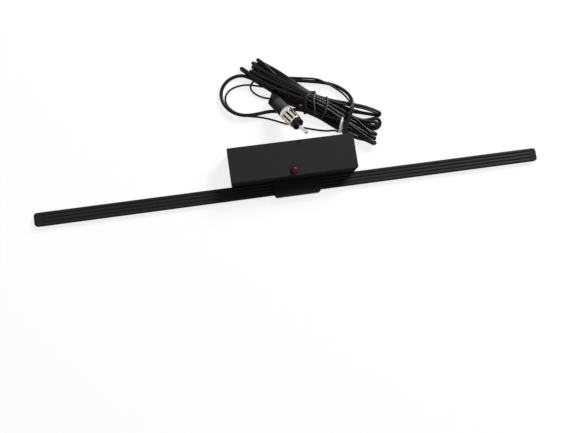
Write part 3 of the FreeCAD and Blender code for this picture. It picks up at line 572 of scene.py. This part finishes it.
# Finish of each material slot
finishes = {
    # The case's darker, bluish tone is painted shade, full on the hood and half on the box's front wall;
    # the lighter, mottled tone is the plastic's own colour.
    "case_black": two_tone_and_shade("case_plastic_painted_shade", (0.0, 1.0, 0.0), HOOD_SHADE_EDGE,
                           dark=(0.012, 0.012, 0.015), light=(0.0245, 0.0245, 0.0255),
                           rough=(0.50, 0.60), specular=0.06),
    "boot_grey": two_tone_and_shade("boot_rubber", PLUG_AXIS, BOOT_EDGE,
                          dark=(0.010, 0.010, 0.011), light=(0.058, 0.058, 0.061),
                          rough=(0.6, 0.72), specular=0.1),
    "lens_red": red_lens(),
    "strip_black": surface("strip_plastic", dark=(0.017, 0.017, 0.017), light=(0.024, 0.023, 0.023),
                           rough=(0.42, 0.55), mottle=300, grain=3500, relief=(0.25, 0.02),
                           specular=0.06, stretch=ALONG_X),
    "foam": surface("foam_tape", dark=(0.045, 0.045, 0.05), light=(0.08, 0.08, 0.085),
                    rough=(0.85, 0.95), mottle=900, grain=2500, relief=(0.8, 0.15)),
    "screw_steel": surface("zinc_steel", dark=(0.52, 0.53, 0.55), light=(0.66, 0.66, 0.66),
                           rough=(0.25, 0.4), mottle=700, grain=4000, relief=(0.15, 0.01), metallic=1.0),
    "bush_rubber": surface("bush_rubber", dark=(0.014, 0.014, 0.014), light=(0.022, 0.022, 0.022),
                           rough=(0.55, 0.7), mottle=500, grain=4500, relief=(0.3, 0.02), specular=0.35),
    "board": surface("board_mask", dark=(0.02, 0.10, 0.04), light=(0.06, 0.20, 0.09),
                     rough=(0.3, 0.45), mottle=250, grain=3000, relief=(0.2, 0.02)),
    "tinned_wire": surface("tinned_wire", dark=(0.55, 0.56, 0.57), light=(0.72, 0.72, 0.72),
                           rough=(0.3, 0.42), mottle=1200, grain=4000, relief=(0.15, 0.01), metallic=1.0),
    "capacitor_can": surface("capacitor_sleeve", dark=(0.02, 0.03, 0.10), light=(0.03, 0.045, 0.14),
                             rough=(0.25, 0.35), mottle=300, grain=3000, relief=(0.1, 0.01)),
    "transistor_black": surface("epoxy", dark=(0.018, 0.018, 0.019), light=(0.03, 0.03, 0.032),
                                rough=(0.45, 0.6), mottle=700, grain=4000, relief=(0.3, 0.02)),
    "ceramic_tan": surface("dipped_ceramic", dark=(0.50, 0.24, 0.08), light=(0.66, 0.36, 0.14),
                           rough=(0.3, 0.45), mottle=500, grain=2500, relief=(0.25, 0.03)),
    "resistor_beige": surface("resistor_lacquer", dark=(0.56, 0.42, 0.26), light=(0.70, 0.56, 0.38),
                              rough=(0.3, 0.42), mottle=500, grain=2500, relief=(0.2, 0.02)),
    "ferrite": surface("ferrite", dark=(0.05, 0.05, 0.053), light=(0.09, 0.09, 0.095),
                       rough=(0.6, 0.75), mottle=800, grain=3500, relief=(0.4, 0.03)),
    "copper": surface("copper", dark=(0.60, 0.28, 0.14), light=(0.78, 0.44, 0.26),
                      rough=(0.22, 0.36), mottle=800, grain=4000, relief=(0.15, 0.01), metallic=1.0),
    "brass": surface("brass", dark=(0.62, 0.46, 0.18), light=(0.80, 0.62, 0.30),
                     rough=(0.25, 0.4), mottle=700, grain=4000, relief=(0.15, 0.01), metallic=1.0),
    "cable_black": surface("cable_jacket", dark=(0.006, 0.006, 0.007), light=(0.010, 0.010, 0.011),
                           rough=(0.19, 0.22), mottle=90, grain=3000, relief=(0.04, 0.01), specular=0.15),
    "tie_grey": surface("tie_plastic", dark=(0.07, 0.07, 0.073), light=(0.11, 0.11, 0.115),
                        rough=(0.35, 0.5), mottle=600, grain=3500, relief=(0.2, 0.02), specular=0.2),
    "nickel": surface("nickel_plate", dark=(0.54, 0.48, 0.39), light=(0.70, 0.63, 0.53),
                      rough=(0.12, 0.22), mottle=600, grain=5000, relief=(0.1, 0.01), metallic=1.0),
    "insulator_black": surface("insulator", dark=(0.004, 0.004, 0.005), light=(0.007, 0.007, 0.008),
                               rough=(0.16, 0.26), mottle=500, grain=4000, relief=(0.2, 0.02),
                               specular=0.15),
}

# Finishes of two single pieces
twist_plastic = surface("twist_plastic", dark=(0.018, 0.018, 0.018), light=(0.032, 0.032, 0.031),
                        rough=(0.3, 0.45), mottle=600, grain=3500, relief=(0.2, 0.02), specular=0.12)
terminal_metal = surface("terminal_metal", dark=(0.86, 0.82, 0.71), light=(0.93, 0.89, 0.79),
                         rough=(0.42, 0.55), mottle=600, grain=5000, relief=(0.15, 0.01), metallic=1.0)


def dress(node, material):
    """Gives a CAD piece its material in place of the frame's."""
    node.data.materials.clear()
    node.data.materials.append(material)


for part in frame["record"]["subparts"]:
    dress(nodes[part["node"]], finishes[part["material_slot"]])
dress(nodes["lead_terminal"], terminal_metal)


# Cables and ties in place

twist_mesh = tie_band(TWIST_TIE)
for start, end in TWIST_ENDS:
    twisted_end(twist_mesh, start, end)
twist_tie = finish_mesh("twist_tie_band", twist_mesh, twist_plastic)
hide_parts("twist_tie")
wire_ties = [finish_mesh(f"wire_tie_{index}", tie_band(tie), finishes["tie_grey"])
             for index, tie in enumerate(WIRE_TIES)]
for band in wire_ties:
    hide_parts("wire_ties")

coax = cable("coax_cable", eased(COAX_STRETCHES), COAX_DIAMETER, finishes["cable_black"])
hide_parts("coax_box_run", "coax_side_loop", "coax_plug_run", "cable_hank")
lead = cable("power_lead", eased(LEAD_STRETCHES), LEAD_DIAMETER, finishes["cable_black"])
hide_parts("lead_box_run", "lead_small_loop", "lead_end_run")


# Floor, light and camera

def white_to_the_eye(tree, shader_output, strength):
    """Adds white that only camera, glossy and transmitted rays see, so that the ground looks white."""
    rays = tree.nodes.new("ShaderNodeLightPath")
    seen = tree.nodes.new("ShaderNodeMath")
    seen.operation = "MAXIMUM"
    also = tree.nodes.new("ShaderNodeMath")
    also.operation = "MAXIMUM"
    tree.links.new(rays.outputs["Is Camera Ray"], seen.inputs[0])
    tree.links.new(rays.outputs["Is Glossy Ray"], seen.inputs[1])
    tree.links.new(seen.outputs["Value"], also.inputs[0])
    tree.links.new(rays.outputs["Is Transmission Ray"], also.inputs[1])
    amount = tree.nodes.new("ShaderNodeMath")
    amount.operation = "MULTIPLY"
    amount.inputs[1].default_value = strength
    tree.links.new(also.outputs["Value"], amount.inputs[0])
    glow = tree.nodes.new("ShaderNodeEmission")
    tree.links.new(amount.outputs["Value"], glow.inputs["Strength"])
    both = tree.nodes.new("ShaderNodeAddShader")
    tree.links.new(shader_output, both.inputs[0])
    tree.links.new(glow.outputs["Emission"], both.inputs[1])
    return both.outputs["Shader"]


def make_floor():
    """A plain floor that looks white and keeps the object's shadow."""
    material, tree, shader = new_material("floor")
    shader.inputs["Base Color"].default_value = (FLOOR_TONE, FLOOR_TONE, FLOOR_TONE, 1.0)
    shader.inputs["Roughness"].default_value = FLOOR_ROUGHNESS
    shader.inputs["Specular IOR Level"].default_value = 0.0
    output = tree.nodes["Material Output"]
    tree.links.new(white_to_the_eye(tree, shader.outputs["BSDF"], FLOOR_GLOW), output.inputs["Surface"])
    half = FLOOR_HALF_WIDTH * MM
    corners = [(-half, -half, 0), (half, -half, 0), (half, half, 0), (-half, half, 0)]
    data = bpy.data.meshes.new("floor")
    data.from_pydata(corners, [], [(0, 1, 2, 3)])
    data.materials.append(material)
    floor = bpy.data.objects.new("floor", data)
    bpy.context.scene.collection.objects.link(floor)
    floor.location.z = -FLOOR_DROP * MM


def make_world():
    """Soft light from all round."""
    world = bpy.data.worlds.new("studio")
    bpy.context.scene.world = world
    world.use_nodes = True
    tree = world.node_tree
    sky = tree.nodes["Background"]
    sky.inputs["Color"].default_value = (1.0, 1.0, 1.0, 1.0)
    sky.inputs["Strength"].default_value = SKY_LIGHT
    output = tree.nodes["World Output"]
    tree.links.new(white_to_the_eye(tree, sky.outputs["Background"], SKY_GLOW), output.inputs["Surface"])


def make_lamp():
    """One large soft lamp, high up behind the object on its right."""
    data = bpy.data.lights.new("key", "AREA")
    data.shape = "SQUARE"
    data.size = LAMP_SIZE * MM
    data.energy = LAMP_POWER
    lamp = bpy.data.objects.new("key", data)
    place = Vector(LAMP_PLACE) * MM
    target = Vector(LAMP_TARGET) * MM
    lamp.location = place
    lamp.rotation_euler = (target - place).to_track_quat("-Z", "Y").to_euler()
    bpy.context.scene.collection.objects.link(lamp)


def make_camera():
    """The photograph's camera."""
    data = bpy.data.cameras.new("camera")
    data.sensor_fit = "HORIZONTAL"
    data.sensor_width = CAMERA_SENSOR
    data.lens = CAMERA_LENS
    data.clip_start = CAMERA_NEAR * MM
    camera = bpy.data.objects.new("camera", data)
    turn = Matrix((CAMERA_RIGHT, CAMERA_UP, CAMERA_BACK)).transposed().to_4x4()
    camera.matrix_world = Matrix.Translation(Vector(CAMERA_PLACE) * MM) @ turn
    bpy.context.scene.collection.objects.link(camera)
    bpy.context.scene.camera = camera


make_floor()
make_world()
make_lamp()
make_camera()
bpy.context.scene.view_settings.view_transform = "Standard"
